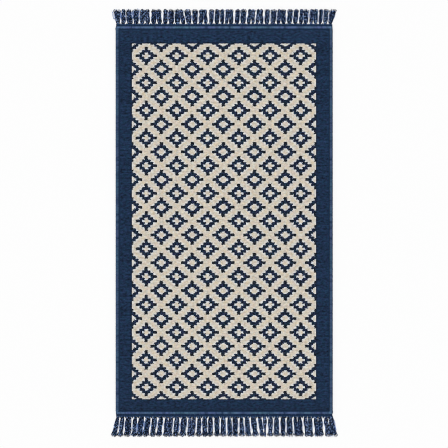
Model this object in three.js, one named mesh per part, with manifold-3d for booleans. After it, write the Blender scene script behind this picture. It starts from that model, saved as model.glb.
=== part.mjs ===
// A reversible kilim rug, lying flat: a woven panel in a mitred, rounded edge binding, with a tasselled fringe
// at each end. Lengths are in millimetres. +Y runs along the rug, +X across it and +Z up from the floor.
// The origin is on the underside, at the middle of the cloth.

import * as THREE from "three";
import { mergeVertices } from "three/addons/utils/BufferGeometryUtils.js";
import Module from "manifold-3d";

const wasm = await Module();
wasm.setup();

// The cloth, measured without its tassels
const CLOTH_WIDTH = 600;
const CLOTH_LENGTH = 1085.6;
const SEAM_GAP = 0.3;

// The woven panel
const PANEL_THICKNESS = 5;
const PANEL_EDGE_ROUND = 1;
const PANEL_CORNER_RADIUS = 2;

// The edge binding, a roll that stands a little higher than the panel
const BINDING_WIDTH = 9.1;
const BINDING_HEIGHT = 6;
const BINDING_FOOT = 6.5;
const BINDING_SHOULDER = 2.2;

// The heading, a narrow strip outside the end binding that the tassels grow out of
const HEADING_WIDTH = 4.7;
const HEADING_HEIGHT = 4.2;
const HEADING_SIDE = 3.4;
const HEADING_CHAMFER = 1.2;

// The tassels, each a row of strands side by side
const STRANDS_PER_TASSEL = 3;
const STRAND_GAP = 0.35;
const STRAND_ROOT_PITCH = 3.4;
const STRAND_TIP_PITCH = 4.4;
const STRAND_ROOT_HEIGHT = 3;
const STRAND_BELLY_HEIGHT = 4;
const STRAND_TIP_HEIGHT = 2.8;
const STRAND_BELLY = 0.6;
const STRAND_CROWN = 0.55;
const STRAND_BLUNTNESS = 0.8;
const STRAND_SEGMENTS = 4;
const ROOT_DEPTH = 2;
const TIP_UNEVENNESS = 1.6;
const TASSEL_TIP_WIDTH = STRANDS_PER_TASSEL * STRAND_TIP_PITCH - STRAND_GAP;
const BUNCH_PITCH = TASSEL_TIP_WIDTH + 0.6;
const BOW = 1.5;
const BOW_WAVELENGTH = 210;
const TIP_SEED = 11;

// How the tassels lie at each end, from left to right. A row is a run of like bunches: how many bunches, how many
// tassels each one gathers at its tips, the distance from root to root, and how far the tips lean to the right.
const TOP_FRINGE = {
  firstRoot: -293.1,
  length: 41,
  runs: [
    { bunches: 1, tassels: 1, pitch: 0, lean: -4.2 },
    { bunches: 3, tassels: 1, pitch: 16.2, lean: -4.6 },
    { bunches: 2, tassels: 2, pitch: 16.5, lean: -1.8 },
    { bunches: 2, tassels: 1, pitch: 16.5, lean: -1.9 },
    { bunches: 1, tassels: 2, pitch: 16.6, lean: -2.9 },
    { bunches: 2, tassels: 1, pitch: 16.1, lean: -3.7 },
    { bunches: 1, tassels: 2, pitch: 14.8, lean: 0 },
    { bunches: 1, tassels: 1, pitch: 13.8, lean: 1.2 },
    { bunches: 2, tassels: 2, pitch: 14.1, lean: 1 },
    { bunches: 2, tassels: 1, pitch: 16.5, lean: 1.8 },
    { bunches: 4, tassels: 2, pitch: 14.1, lean: 2 },
    { bunches: 2, tassels: 1, pitch: 15.8, lean: 3.6 },
    { bunches: 2, tassels: 2, pitch: 14.3, lean: 2.8 },
    { bunches: 2, tassels: 1, pitch: 13.2, lean: 5.6 },
    { bunches: 1, tassels: 1, pitch: 12.5, lean: 10 },
  ],
};
const BOTTOM_FRINGE = {
  firstRoot: -293.9,
  length: 53,
  runs: [
    { bunches: 1, tassels: 1, pitch: 0, lean: -9.7 },
    { bunches: 1, tassels: 1, pitch: 12.7, lean: -6.4 },
    { bunches: 6, tassels: 1, pitch: 17.9, lean: -5.2 },
    { bunches: 1, tassels: 2, pitch: 13.2, lean: -1.2 },
    { bunches: 2, tassels: 1, pitch: 19.4, lean: -6.4 },
    { bunches: 1, tassels: 2, pitch: 13.7, lean: -4 },
    { bunches: 1, tassels: 1, pitch: 12.5, lean: -2.2 },
    { bunches: 1, tassels: 2, pitch: 15.1, lean: 0 },
    { bunches: 2, tassels: 1, pitch: 19.4, lean: -1.4 },
    { bunches: 2, tassels: 1, pitch: 14.3, lean: 2.9 },
    { bunches: 3, tassels: 1, pitch: 16.5, lean: 5.5 },
    { bunches: 1, tassels: 2, pitch: 16.9, lean: 2.5 },
    { bunches: 4, tassels: 1, pitch: 17, lean: 0.3 },
    { bunches: 4, tassels: 2, pitch: 14.2, lean: 5 },
  ],
};

const MERGE_TOLERANCE = 1e-4;

// Finishes: cream and navy cloth, a faded blue binding and dark navy yarn
const CLOTH_FINISH = { color: 0xd5c9b4, roughness: 0.95, metalness: 0 };
const BINDING_FINISH = { color: 0x3c5378, roughness: 0.9, metalness: 0 };
const YARN_FINISH = { color: 0x1d2b45, roughness: 0.9, metalness: 0 };

const { lerp, seededRandom } = THREE.MathUtils;

// A closed mesh as a solid that can be joined to others.
function solidOf(geometry) {
  const bare = geometry.clone();
  bare.deleteAttribute("normal");
  bare.deleteAttribute("uv");
  const merged = mergeVertices(bare, MERGE_TOLERANCE);
  const mesh = new wasm.Mesh({
    numProp: 3,
    vertProperties: merged.getAttribute("position").array,
    triVerts: new Uint32Array(merged.index.array),
  });
  return new wasm.Manifold(mesh);
}

function geometryOf(solid) {
  const { vertProperties, triVerts } = solid.getMesh();
  const geometry = new THREE.BufferGeometry();
  geometry.setAttribute("position", new THREE.BufferAttribute(vertProperties, 3));
  geometry.setIndex(new THREE.BufferAttribute(triVerts, 1));
  geometry.computeVertexNormals();
  return geometry;
}

function namedMesh(name, geometry, finish) {
  const mesh = new THREE.Mesh(geometry, new THREE.MeshStandardMaterial(finish));
  mesh.name = name;
  return mesh;
}

// A bar along Y with the given section, which is drawn with its width along X and its height along Y.
function barAlongY(section, length, curveSegments) {
  const geometry = new THREE.ExtrudeGeometry(section, { depth: length, bevelEnabled: false, curveSegments });
  geometry.rotateX(Math.PI / 2);
  geometry.translate(0, length / 2, 0);
  return geometry;
}

// The woven panel fills the frame of the binding. Its rim is slightly rounded, and its underside is flat.
function panelGeometry() {
  const inset = BINDING_WIDTH + SEAM_GAP;
  const halfWidth = CLOTH_WIDTH / 2 - inset;
  const halfLength = CLOTH_LENGTH / 2 - HEADING_WIDTH - SEAM_GAP - inset;
  const radius = PANEL_CORNER_RADIUS;
  const outline = new THREE.Shape();
  outline.absarc(halfWidth - radius, halfLength - radius, radius, 0, Math.PI / 2);
  outline.absarc(radius - halfWidth, halfLength - radius, radius, Math.PI / 2, Math.PI);
  outline.absarc(radius - halfWidth, radius - halfLength, radius, Math.PI, 1.5 * Math.PI);
  outline.absarc(halfWidth - radius, radius - halfLength, radius, 1.5 * Math.PI, 2 * Math.PI);
  outline.closePath();
  const geometry = new THREE.ExtrudeGeometry(outline, {
    depth: PANEL_THICKNESS - 2 * PANEL_EDGE_ROUND,
    bevelThickness: PANEL_EDGE_ROUND,
    bevelSize: PANEL_EDGE_ROUND,
    bevelOffset: -PANEL_EDGE_ROUND,
    bevelSegments: 2,
    curveSegments: 3,
  });
  geometry.translate(0, 0, PANEL_EDGE_ROUND);
  return geometry;
}

// The binding's section: flat under its foot, round over its crest.
function bindingSection() {
  const halfWidth = BINDING_WIDTH / 2;
  const halfFoot = BINDING_FOOT / 2;
  const section = new THREE.Shape();
  section.moveTo(-halfFoot, 0);
  section.lineTo(halfFoot, 0);
  section.quadraticCurveTo(halfWidth, 0, halfWidth, BINDING_SHOULDER);
  section.absellipse(0, BINDING_SHOULDER, halfWidth, BINDING_HEIGHT - BINDING_SHOULDER, 0, Math.PI);
  section.quadraticCurveTo(-halfWidth, 0, -halfFoot, 0);
  return section;
}

// One side of the binding, its outer edge towards +X. Its ends are mitred: a point's distance from the outer edge
// is how far the end is drawn back there.
function bindingGeometry(outerLength) {
  const geometry = barAlongY(bindingSection(), outerLength, 10);
  const points = geometry.getAttribute("position");
  const mitreClearance = SEAM_GAP / Math.SQRT2;
  for (let i = 0; i < points.count; i += 1) {
    const drawnBack = BINDING_WIDTH / 2 - points.getX(i) + mitreClearance;
    points.setY(i, Math.sign(points.getY(i)) * (outerLength / 2 - drawnBack));
  }
  geometry.computeVertexNormals();
  return geometry;
}

// The four sides of the binding, turned so that each one's outer edge faces outwards.
function bindingMeshes() {
  const frameLength = CLOTH_LENGTH - 2 * (HEADING_WIDTH + SEAM_GAP);
  const sideways = CLOTH_WIDTH / 2 - BINDING_WIDTH / 2;
  const endways = frameLength / 2 - BINDING_WIDTH / 2;
  const sides = [
    { name: "binding_right", length: frameLength, x: sideways, y: 0, turn: 0 },
    { name: "binding_top", length: CLOTH_WIDTH, x: 0, y: endways, turn: Math.PI / 2 },
    { name: "binding_left", length: frameLength, x: -sideways, y: 0, turn: Math.PI },
    { name: "binding_bottom", length: CLOTH_WIDTH, x: 0, y: -endways, turn: -Math.PI / 2 },
  ];
  return sides.map((side) => {
    const mesh = namedMesh(side.name, bindingGeometry(side.length), BINDING_FINISH);
    mesh.position.set(side.x, side.y, 0);
    mesh.rotation.z = side.turn;
    return mesh;
  });
}

// Where each tassel of a fringe has its root and its tip, from left to right. The tassels of a bunch come together
// at their tips, and no tip lies over the one before it.
function tasselPlaces(fringe) {
  const places = [];
  let root = fringe.firstRoot;
  let lastTip = -Infinity;
  for (const run of fringe.runs) {
    for (let bunch = 0; bunch < run.bunches; bunch += 1) {
      const middle = root + (run.pitch * (run.tassels + 1)) / 2;
      for (let tassel = 0; tassel < run.tassels; tassel += 1) {
        root += run.pitch;
        const fromMiddle = (tassel - (run.tassels - 1) / 2) * BUNCH_PITCH;
        const tip = Math.max(middle + run.lean + fromMiddle, lastTip + BUNCH_PITCH);
        places.push({ root, tip });
        lastTip = tip;
      }
    }
  }
  return places;
}

// One strand, a bar of four sides that lies flat on the floor. It swells from its root to its belly and has a
// blunt tip. Strands side by side widen with their pitch, so that they never touch.
function strandGeometry(strand) {
  const reach = ROOT_DEPTH + strand.length;
  const geometry = new THREE.BoxGeometry(1, 1, 1, 1, STRAND_SEGMENTS, 1);
  const points = geometry.getAttribute("position");
  for (let i = 0; i < points.count; i += 1) {
    const along = points.getY(i) + 0.5;
    const onTop = points.getZ(i) > 0;
    const pitch = lerp(STRAND_ROOT_PITCH, STRAND_TIP_PITCH, along);
    const taper = along === 1 ? STRAND_BLUNTNESS : 1;
    const width = (pitch - STRAND_GAP) * taper * (onTop ? STRAND_CROWN : 1);
    const belly = along < STRAND_BELLY ? STRAND_ROOT_HEIGHT : STRAND_TIP_HEIGHT;
    const fullness = along < STRAND_BELLY ? along / STRAND_BELLY : (1 - along) / (1 - STRAND_BELLY);
    const height = lerp(belly, STRAND_BELLY_HEIGHT, fullness);
    const centre = lerp(strand.root, strand.tip, along)
      + strand.place * pitch
      + strand.bow * Math.sin(Math.PI * along);
    points.setX(i, centre + points.getX(i) * width);
    points.setY(i, HEADING_WIDTH - ROOT_DEPTH + along * reach);
    points.setZ(i, onTop ? height : 0);
  }
  return geometry;
}

function headingGeometry() {
  const halfWidth = HEADING_WIDTH / 2;
  const section = new THREE.Shape();
  section.moveTo(-halfWidth, 0);
  section.lineTo(halfWidth, 0);
  section.lineTo(halfWidth, HEADING_SIDE);
  section.lineTo(halfWidth - HEADING_CHAMFER, HEADING_HEIGHT);
  section.lineTo(HEADING_CHAMFER - halfWidth, HEADING_HEIGHT);
  section.lineTo(-halfWidth, HEADING_SIDE);
  section.closePath();
  const geometry = barAlongY(section, CLOTH_WIDTH, 1);
  geometry.rotateZ(Math.PI / 2);
  geometry.translate(0, halfWidth, 0);
  return geometry;
}

// A heading with its tassels. Its inner edge lies on Y = 0, and the tassels run towards +Y. At the bottom end the
// whole fringe is turned half round, so left there becomes right here.
function fringeMesh(name, fringe, turn) {
  const facing = Math.round(Math.cos(turn));
  let solid = solidOf(headingGeometry());
  seededRandom(TIP_SEED);
  for (const { root, tip } of tasselPlaces(fringe)) {
    const bow = BOW * Math.sin((2 * Math.PI * root) / BOW_WAVELENGTH);
    for (let i = 0; i < STRANDS_PER_TASSEL; i += 1) {
      const geometry = strandGeometry({
        root: facing * root,
        tip: facing * tip,
        bow: facing * bow,
        place: i - (STRANDS_PER_TASSEL - 1) / 2,
        length: fringe.length + TIP_UNEVENNESS * (seededRandom() - 0.5),
      });
      solid = solid.add(solidOf(geometry));
    }
  }
  const mesh = namedMesh(name, geometryOf(solid), YARN_FINISH);
  mesh.position.y = facing * (CLOTH_LENGTH / 2 - HEADING_WIDTH);
  mesh.rotation.z = turn;
  return mesh;
}

const rug = new THREE.Group();
rug.add(namedMesh("woven_panel", panelGeometry(), CLOTH_FINISH));
rug.add(...bindingMeshes());
rug.add(fringeMesh("fringe_top", TOP_FRINGE, 0));
rug.add(fringeMesh("fringe_bottom", BOTTOM_FRINGE, Math.PI));

export default rug;
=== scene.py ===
"""A reversible kilim rug, laid flat: its woven panel, the whipped binding round it and its two fringes.

Lengths are in metres unless a comment says otherwise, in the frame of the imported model: +X across the rug, +Y
along it and +Z up from the floor.
"""

import math
from types import SimpleNamespace

import bpy
import numpy as np
from bpy.props import FloatProperty, FloatVectorProperty, IntProperty, PointerProperty
from mathutils import Matrix, Vector


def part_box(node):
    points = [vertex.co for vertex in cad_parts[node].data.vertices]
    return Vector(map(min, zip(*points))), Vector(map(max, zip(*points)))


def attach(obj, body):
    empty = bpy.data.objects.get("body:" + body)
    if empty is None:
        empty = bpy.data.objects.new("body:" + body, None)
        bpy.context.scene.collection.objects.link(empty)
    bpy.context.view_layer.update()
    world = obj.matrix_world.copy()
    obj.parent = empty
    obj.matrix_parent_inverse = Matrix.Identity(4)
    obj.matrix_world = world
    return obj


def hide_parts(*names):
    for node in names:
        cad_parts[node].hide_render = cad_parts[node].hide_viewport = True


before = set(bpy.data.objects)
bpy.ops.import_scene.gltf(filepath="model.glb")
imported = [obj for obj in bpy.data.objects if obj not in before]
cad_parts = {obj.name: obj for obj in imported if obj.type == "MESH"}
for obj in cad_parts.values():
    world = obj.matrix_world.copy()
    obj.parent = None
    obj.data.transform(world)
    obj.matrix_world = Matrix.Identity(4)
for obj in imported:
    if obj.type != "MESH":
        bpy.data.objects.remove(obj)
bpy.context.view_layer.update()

bl_info = {
    "name": "Reversible Kilim Rug",
    "version": (1, 0, 0),
    "blender": (4, 5, 0),
    "location": "3D View > Sidebar > Rug",
    "description": "Weaves a flat reversible rug, binds its edges and ties its fringes",
    "category": "Object",
}

BODY = "root"
MM = 0.001
PIXEL = 2.7688 * MM

# The weave is counted in steps, the smallest ones of the pattern: a repeat is 22 steps across and 22 along.
# Counts start at the middle of the cloth. Each step is two warps wide, and the weft shows on a warp as
# three beads.
REPEAT = 22
STEP_ACROSS = 85.64 * MM / REPEAT
STEP_ALONG = 76.75 * MM / REPEAT
WARPS_PER_STEP = 2
BEADS_PER_STEP = 3
PATTERN_MIDDLE = (-2.69 * MM, -2.24 * MM)

# How far the loom's tension has drawn the pattern off its even spacing: the step, and the drift there in
# millimetres.
DRIFT_ACROSS = [
    (-66, 1.7), (-64.5, 2.6), (-61, 1.9), (-55, 0.9), (-44, -0.3), (-22, -0.6), (0, -0.2), (11, 0.5),
    (33, 0.9), (64.7, -0.4), (66, -0.1),
]
DRIFT_ALONG = [
    (-143, 5.4), (-142, 4.6), (-140, 2.9), (-135, 0.7), (-132, 0.45), (-121, -0.6), (-110, -1.2),
    (-66, -1.4), (-44, -0.4), (0, 0.0), (77, -0.6), (110, -0.8), (121, -1.3), (129, -2.4), (132, -2.9),
    (135, -3.55), (140, -5.4), (142, -6.7), (143, -7.2),
]

# Each way of the weave: the size of its step, the middle of its pattern and its drift
ACROSS = (STEP_ACROSS, PATTERN_MIDDLE[0], DRIFT_ACROSS)
ALONG = (STEP_ALONG, PATTERN_MIDDLE[1], DRIFT_ALONG)

# The stepped diamonds, those round a light cross and those round a light lozenge, from the middle outwards:
# how many steps high each bar reaches, and how wide it is there. The field's two ends each way follow.
CROSS_DIAMOND = [(1.15, 7.95), (3.05, 5.1), (5.05, 3.2), (7.9, 1.25)]
LOZENGE_DIAMOND = [(1.15, 7.95), (3.2, 5.2), (5.2, 3.3), (7.9, 1.3)]
LIGHT_CROSS = [(0.8, 3.05), (2.7, 1.2)]
LIGHT_LOZENGE = [(0.95, 3.2), (1.85, 1.9), (2.7, 1.1)]
FIELD_ACROSS = (-65.6, 66.0)
FIELD_ALONG = (-142.9, 142.9)

# The gaps between the tassels of each end, from left to right, in millimetres: the place and the width of a
# gap at the heading, then at the tips. Its width is below 0 where two tassels overlap. The outermost ones
# are the fringe's two sides.
TOP_GAPS = [
    (-299, 0, -307, 0), (-288, 3, -286, 3), (-271, 6, -274, 1.5), (-251, 2, -257, 3), (-236, 5, -235, 3.5),
    (-220, 6, -219, -1), (-204, 4.5, -205, 5), (-187, 5.5, -188, -0.5), (-171, 3.5, -172, 6.5),
    (-155, 5.5, -157, 1), (-138, 3.5, -138, 2.5), (-121, 5.5, -123, -0.5), (-105, 3, -113, 2.5),
    (-89, 4.5, -91, 3), (-73, 3.5, -71, 3.5), (-58, 3.5, -58, -1), (-44, 3.5, -45, 6.5), (-29, 6, -27, 2.5),
    (-13, 4.5, -12, 1.5), (0, 2, 2, 3.5), (12, 3.5, 14, -1), (27, 4.5, 28, 6), (43, 6, 44, 1.5),
    (60, 4, 64, 4.5), (74, 3, 75, -1), (85, 2, 88, 3.5), (97, 3, 98, -1), (110, 3, 110, 5),
    (126, 6, 128, 2), (142, 4.5, 147, 1.5), (157, 4.5, 157, -1), (172, 3.5, 173, 4.5), (188, 6, 192, 2),
    (204, 5, 208, 3), (219, 3, 219, 0), (233, 4.5, 236, 3), (246, 4, 248, -1), (259, 1.5, 262, 3),
    (272, 5.5, 275, 1.5), (286, 2.5, 291, 2), (298, 0, 311, 0),
]
BOTTOM_GAPS = [
    (-299, 0, -312, 0), (-288, 3, -296, 3), (-274, 4, -280, 3.5), (-254, 5.5, -258, 3),
    (-239, 6, -243, 2.5), (-219, 4.5, -227, 2), (-201, 4, -208, 4), (-183, 5, -190, 3.5),
    (-166, 5.5, -172, 5), (-154, 3, -157, -0.5), (-139, 6, -144, 3), (-121, 8, -126, 3.5),
    (-101, 4.5, -105, 4.5), (-90, 3.5, -92, -1), (-76, 4, -80, 3.5), (-63, 3, -62, 3), (-46, 3, -46, 1.5),
    (-30, 5.5, -29, 4.5), (-11, 6, -12, 3), (6, 7, 7, 4), (20, 4, 25, 1), (40, 6, 40, 4), (54, 4, 58, 3),
    (70, 3.5, 77, 4.5), (89, 5.5, 97, 5), (104, 3, 111, 1), (120, 4, 118, 5.5), (137, 4.5, 135, 3),
    (153, 7, 155, 4), (171, 4.5, 171, 3), (189, 4.5, 193, 3.5), (201, 3, 206, -1), (216, 6, 222, 4.5),
    (229, 3.5, 235, -1), (245, 6, 249, 5), (259, 4, 263, -1), (273, 6.5, 278, 5.5), (286, 3, 296, -0.5),
    (301, 0, 313, 0),
]

# Each fringe, in millimetres: its gaps; their opening, by which all of them are wider at the heading and at
# the tips; the width of its heading and the length of its tassels; the pinch, the share of a gap's width
# that is taken off below its middle; the neck, by which a gap is wider right at the heading; the spread of
# the tassels at their tips; how much sooner a gap closes that has no room at the tips; how far its stubs
# reach; which way the fringe points; and its loose fibres, as the place along the edge, the distances from
# the heading that they span and how many there are.
FRINGES = {
    "fringe_top": {
        "gaps": TOP_GAPS,
        "opening": (1.6, 0.8),
        "heading_width": 5.4,
        "length": 41.7,
        "pinch": 0.43,
        "neck": 4.3,
        "tip_spread": 2.7,
        "short_gap": 1.0,
        "stubs": (0.9, 3.2),
        "facing": 1,
        "loose": [
            (-304, 12, 36, 5), (-284, 14, 34, 12), (-259, 14, 38, 12), (-236, 14, 40, 10), (150, 16, 38, 8),
        ],
    },
    "fringe_bottom": {
        "gaps": BOTTOM_GAPS,
        "opening": (2.1, 1.3),
        "heading_width": 6.0,
        "length": 55.4,
        "pinch": 0.46,
        "neck": 1.9,
        "tip_spread": 4.9,
        "short_gap": 0.6,
        "stubs": (1.8, 5.4),
        "facing": -1,
        "loose": [
            (-243, 20, 48, 10), (-226, 12, 48, 10), (-125, 20, 46, 8), (58, 24, 48, 6), (304, 10, 44, 6),
        ],
    },
}


def forward(operation):
    """The method for an operation whose first term is the reading."""

    def method(self, *others):
        return self.worked(operation, self, *others)

    return method


def reflected(operation):
    """The method for an operation whose last term is the reading."""

    def method(self, other):
        return self.worked(operation, other, self)

    return method


class Reading:
    """A node's output that stands in an expression, which adds the Math nodes that work it out."""

    def __init__(self, bench, socket):
        self.bench = bench
        self.socket = socket

    def worked(self, operation, *terms):
        values = dict(zip(("Value", "Value_001"), terms))
        return self.bench.add("ShaderNodeMath", {"operation": operation}, values)

    __add__ = forward("ADD")
    __radd__ = reflected("ADD")
    __sub__ = forward("SUBTRACT")
    __rsub__ = reflected("SUBTRACT")
    __mul__ = forward("MULTIPLY")
    __truediv__ = forward("DIVIDE")
    __mod__ = forward("FLOORED_MODULO")
    __pow__ = forward("POWER")
    __gt__ = forward("GREATER_THAN")
    __lt__ = forward("LESS_THAN")
    __abs__ = forward("ABSOLUTE")
    floor = forward("FLOOR")
    sine = forward("SINE")
    cosine = forward("COSINE")
    at_most = forward("MINIMUM")
    at_least = forward("MAXIMUM")

    def smooth(self, low, high, start=0.0, end=1.0):
        """This number eased from start to end as it goes from low to high."""
        values = {"Value": self, "From Min": low, "From Max": high, "To Min": start, "To Max": end}
        return self.bench.add("ShaderNodeMapRange", {"interpolation_type": "SMOOTHSTEP"}, values)


class Bench:
    """One node tree, and the methods that add its nodes, all of them through add."""

    def __init__(self, tree):
        self.tree = tree

    def feed(self, socket, value):
        """Links a reading to a socket, or sets the socket to a value."""
        if isinstance(value, Reading):
            self.tree.links.new(value.socket, socket)
        elif socket.type == "RGBA":
            socket.default_value = (*value, 1.0)
        else:
            socket.default_value = value

    def add(self, kind, settings=None, values=None, take=0):
        """Adds a node, makes its settings, feeds its sockets and gives the outputs that take names."""
        node = self.tree.nodes.new(kind)
        for name, choice in (settings or {}).items():
            setattr(node, name, choice)
        sockets = {socket.identifier: socket for socket in node.inputs}
        for name, value in (values or {}).items():
            self.feed(sockets[name], value)
        outlets = {outlet.identifier: outlet for outlet in node.outputs}
        names = take if isinstance(take, tuple) else (take,)
        readings = [Reading(self, outlets.get(name) or node.outputs[name]) for name in names]
        return readings if isinstance(take, tuple) else readings[0]

    def point(self, x, y, z=0.0):
        return self.add("ShaderNodeCombineXYZ", values={"X": x, "Y": y, "Z": z})

    def parts(self, vector):
        """The X, Y and Z of a vector."""
        return self.add("ShaderNodeSeparateXYZ", values={"Vector": vector}, take=("X", "Y", "Z"))

    def place(self):
        """The X, Y and Z of the place that a material is at."""
        return self.parts(self.add("ShaderNodeTexCoord", take="Object"))

    def noise(self, x, y, z=0.0, detail=2.0):
        """Even noise from 0 to 1, most of it close to 0.5."""
        values = {"Vector": self.point(x, y, z), "Scale": 1.0, "Detail": detail}
        return self.add("ShaderNodeTexNoise", values=values)

    def lot(self, number):
        """A number from 0 to 1 that is drawn anew for each whole number."""
        return self.add("ShaderNodeTexWhiteNoise", {"noise_dimensions": "1D"}, {"W": number})

    def blend(self, first, second, share):
        """Two colours blended by a share."""
        values = {"Factor_Float": share, "A_Color": first, "B_Color": second}
        return self.add("ShaderNodeMix", {"data_type": "RGBA"}, values, take="Result_Color")

    def brighter(self, colour, factor):
        """A colour or another vector times a number."""
        values = {"Vector": colour, "Scale": factor}
        return self.add("ShaderNodeVectorMath", {"operation": "SCALE"}, values, take="Vector")

    def mesh_value(self, name):
        """What a mesh stores under a name, in a material."""
        return self.add("ShaderNodeAttribute", {"attribute_name": name}, take="Fac")

    def dress(self, colour, relief, distance, roughness):
        """Feeds the material's shader its colour, its relief with that one's height, and its roughness."""
        bump = self.add("ShaderNodeBump", values={"Height": relief, "Distance": distance, "Strength": 1.0})
        shader = self.tree.nodes["Principled BSDF"]
        for name, value in {"Base Color": colour, "Roughness": roughness, "Normal": bump}.items():
            self.feed(shader.inputs[name], value)

    def stored(self, name, kind="FLOAT"):
        """What a mesh stores under a name, in a Geometry Nodes tree."""
        settings = {"data_type": kind}
        return self.add("GeometryNodeInputNamedAttribute", settings, {"Name": name}, take="Attribute")

    def marked(self, geometry, name, value, domain="POINT"):
        """Geometry that stores a number under a name."""
        values = {"Geometry": geometry, "Name": name, "Value": value}
        return self.add("GeometryNodeStoreNamedAttribute", {"data_type": "FLOAT", "domain": domain}, values)

    def random(self, seed, low=0.0, high=1.0):
        """A number drawn from low to high for each point."""
        values = {"Min_001": low, "Max_001": high, "Seed": seed}
        return self.add("FunctionNodeRandomValue", {"data_type": "FLOAT"}, values, take="Value_001")

    def moved(self, geometry, **where):
        """Geometry with its points put at a Position or shifted by an Offset."""
        return self.add("GeometryNodeSetPosition", values={"Geometry": geometry, **where})

    def tube(self, line, sides, radius, **more):
        """A closed tube along a line."""
        ring = {"Resolution": sides, "Radius": radius}
        section = self.add("GeometryNodeCurvePrimitiveCircle", values=ring, take="Curve")
        values = {"Curve": line, "Profile Curve": section, "Fill Caps": True, **more}
        return self.add("GeometryNodeCurveToMesh", values=values)

    def joined(self, *pieces):
        """Several geometries as one."""
        join = self.add("GeometryNodeJoinGeometry")
        for piece in pieces:
            self.feed(join.socket.node.inputs[0], piece)
        return join


def colour_of(red, green, blue):
    """A screen colour of 0 to 255 as the linear colour that the nodes use."""
    channels = [channel / 255 for channel in (red, green, blue)]
    linear = [((c + 0.055) / 1.055) ** 2.4 if c > 0.04045 else c / 12.92 for c in channels]
    return tuple(linear)


# The finish of every yarn: matt, with a little nap and hardly any gloss
YARN_FINISH = {"Specular IOR Level": 0.06, "Sheen Weight": 0.04, "Sheen Roughness": 0.6}


def new_finish(name, settings):
    """A material whose shader has the settings given, and the bench of its tree."""
    material = bpy.data.materials.new(name)
    material.use_nodes = True
    bench = Bench(material.node_tree)
    for label, value in settings.items():
        bench.feed(bench.tree.nodes["Principled BSDF"].inputs[label], value)
    return material, bench


def new_rule(name, inputs):
    """A Geometry Nodes tree for a mesh, with the inputs given by name and kind, and all their readings."""
    tree = bpy.data.node_groups.new(name, "GeometryNodeTree")
    for label, kind in {"Geometry": "Geometry", **inputs}.items():
        tree.interface.new_socket(label, in_out="INPUT", socket_type="NodeSocket" + kind)
    tree.interface.new_socket("Geometry", in_out="OUTPUT", socket_type="NodeSocketGeometry")
    bench = Bench(tree)
    labels = ("Geometry", *inputs)
    return bench, dict(zip(labels, bench.add("NodeGroupInput", take=labels)))


def finish_rule(bench, geometry, material):
    """Ends a tree: instances made real, faces smoothed, the material set."""
    real = bench.add("GeometryNodeRealizeInstances", values={"Geometry": geometry})
    smooth = bench.add("GeometryNodeSetShadeSmooth", values={"Geometry": real})
    finished = bench.add("GeometryNodeSetMaterial", values={"Geometry": smooth, "Material": material})
    outlet = bench.tree.nodes.new("NodeGroupOutput")
    bench.tree.links.new(finished.socket, outlet.inputs[0])


def made_by_rule(name, base, bench, settings):
    """The piece that a tree makes from a base mesh, as a plain mesh object at the origin."""
    piece = bpy.data.objects.new(name, base)
    bpy.context.scene.collection.objects.link(piece)
    modifier = piece.modifiers.new("Rule", "NODES")
    modifier.node_group = bench.tree
    for item in bench.tree.interface.items_tree:
        if item.name in settings:
            modifier[item.identifier] = settings[item.name]
    depsgraph = bpy.context.evaluated_depsgraph_get()
    mesh = bpy.data.meshes.new_from_object(piece.evaluated_get(depsgraph), depsgraph=depsgraph)
    piece.modifiers.remove(modifier)
    piece.data = mesh
    mesh.name = name
    bpy.data.meshes.remove(base)
    if not mesh.polygons:
        raise RuntimeError(f"{name} came out empty")
    return piece


def fitted(piece, slot, *nodes):
    """Puts a piece on its body and hides the CAD nodes that it stands for. Slot, the name of
    its finish, is not used.
    """
    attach(piece, BODY)
    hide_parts(*nodes)


def point_numbers(mesh, name, numbers, kind="FLOAT", field="value"):
    """Stores a number or a vector for each vertex of a mesh."""
    layer = mesh.attributes.new(name, kind, "POINT")
    layer.data.foreach_set(field, np.asarray(numbers, np.float32).ravel())


# What a user can change in the panels of settings


def setting(kind, **fixed):
    """What makes one kind of setting from its name, its description and its default."""

    def made(name, description, default):
        return kind(name=name, description=description, default=default, **fixed)

    return made


length_setting = setting(FloatProperty, unit="LENGTH")
share_setting = setting(FloatProperty, subtype="FACTOR")
angle_setting = setting(FloatProperty, subtype="ANGLE")
number_setting = setting(FloatProperty)
count_setting = setting(IntProperty)
linear_colour_setting = setting(FloatVectorProperty, subtype="COLOR")


def colour_setting(name, description, *screen_colour):
    return linear_colour_setting(name, description, colour_of(*screen_colour))


# The woven panel

# The least width of the mesh's outermost columns, and the share of the cloth's thickness that its rounded
# rim takes off each face
LEAST_COLUMN = 0.3 * MM
RIM_DROP = 0.25

# The ribs' waver: its length along a rib, how many times faster it changes across the ribs, how much the
# ribs' height varies with it, and its layer of noise
WAVER_LENGTH = 0.04
WAVER_STRETCH = 3
RIB_UNEVENNESS = 0.8
RIB_SEED = 7.0


def places_of(steps, step_size, middle, drift):
    """Where steps of the weave lie, in metres, with the loom's drift."""
    counts, shifts = np.array(drift).T
    return middle + steps * step_size + np.interp(steps, counts, shifts) * MM


def steps_to(end, step_size, per_step):
    """The steps of the weave to a little past an end each way, each one in equal parts."""
    reach = (math.ceil(end / step_size) + 2) * per_step
    return np.arange(-reach, reach + 1) / per_step


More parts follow.
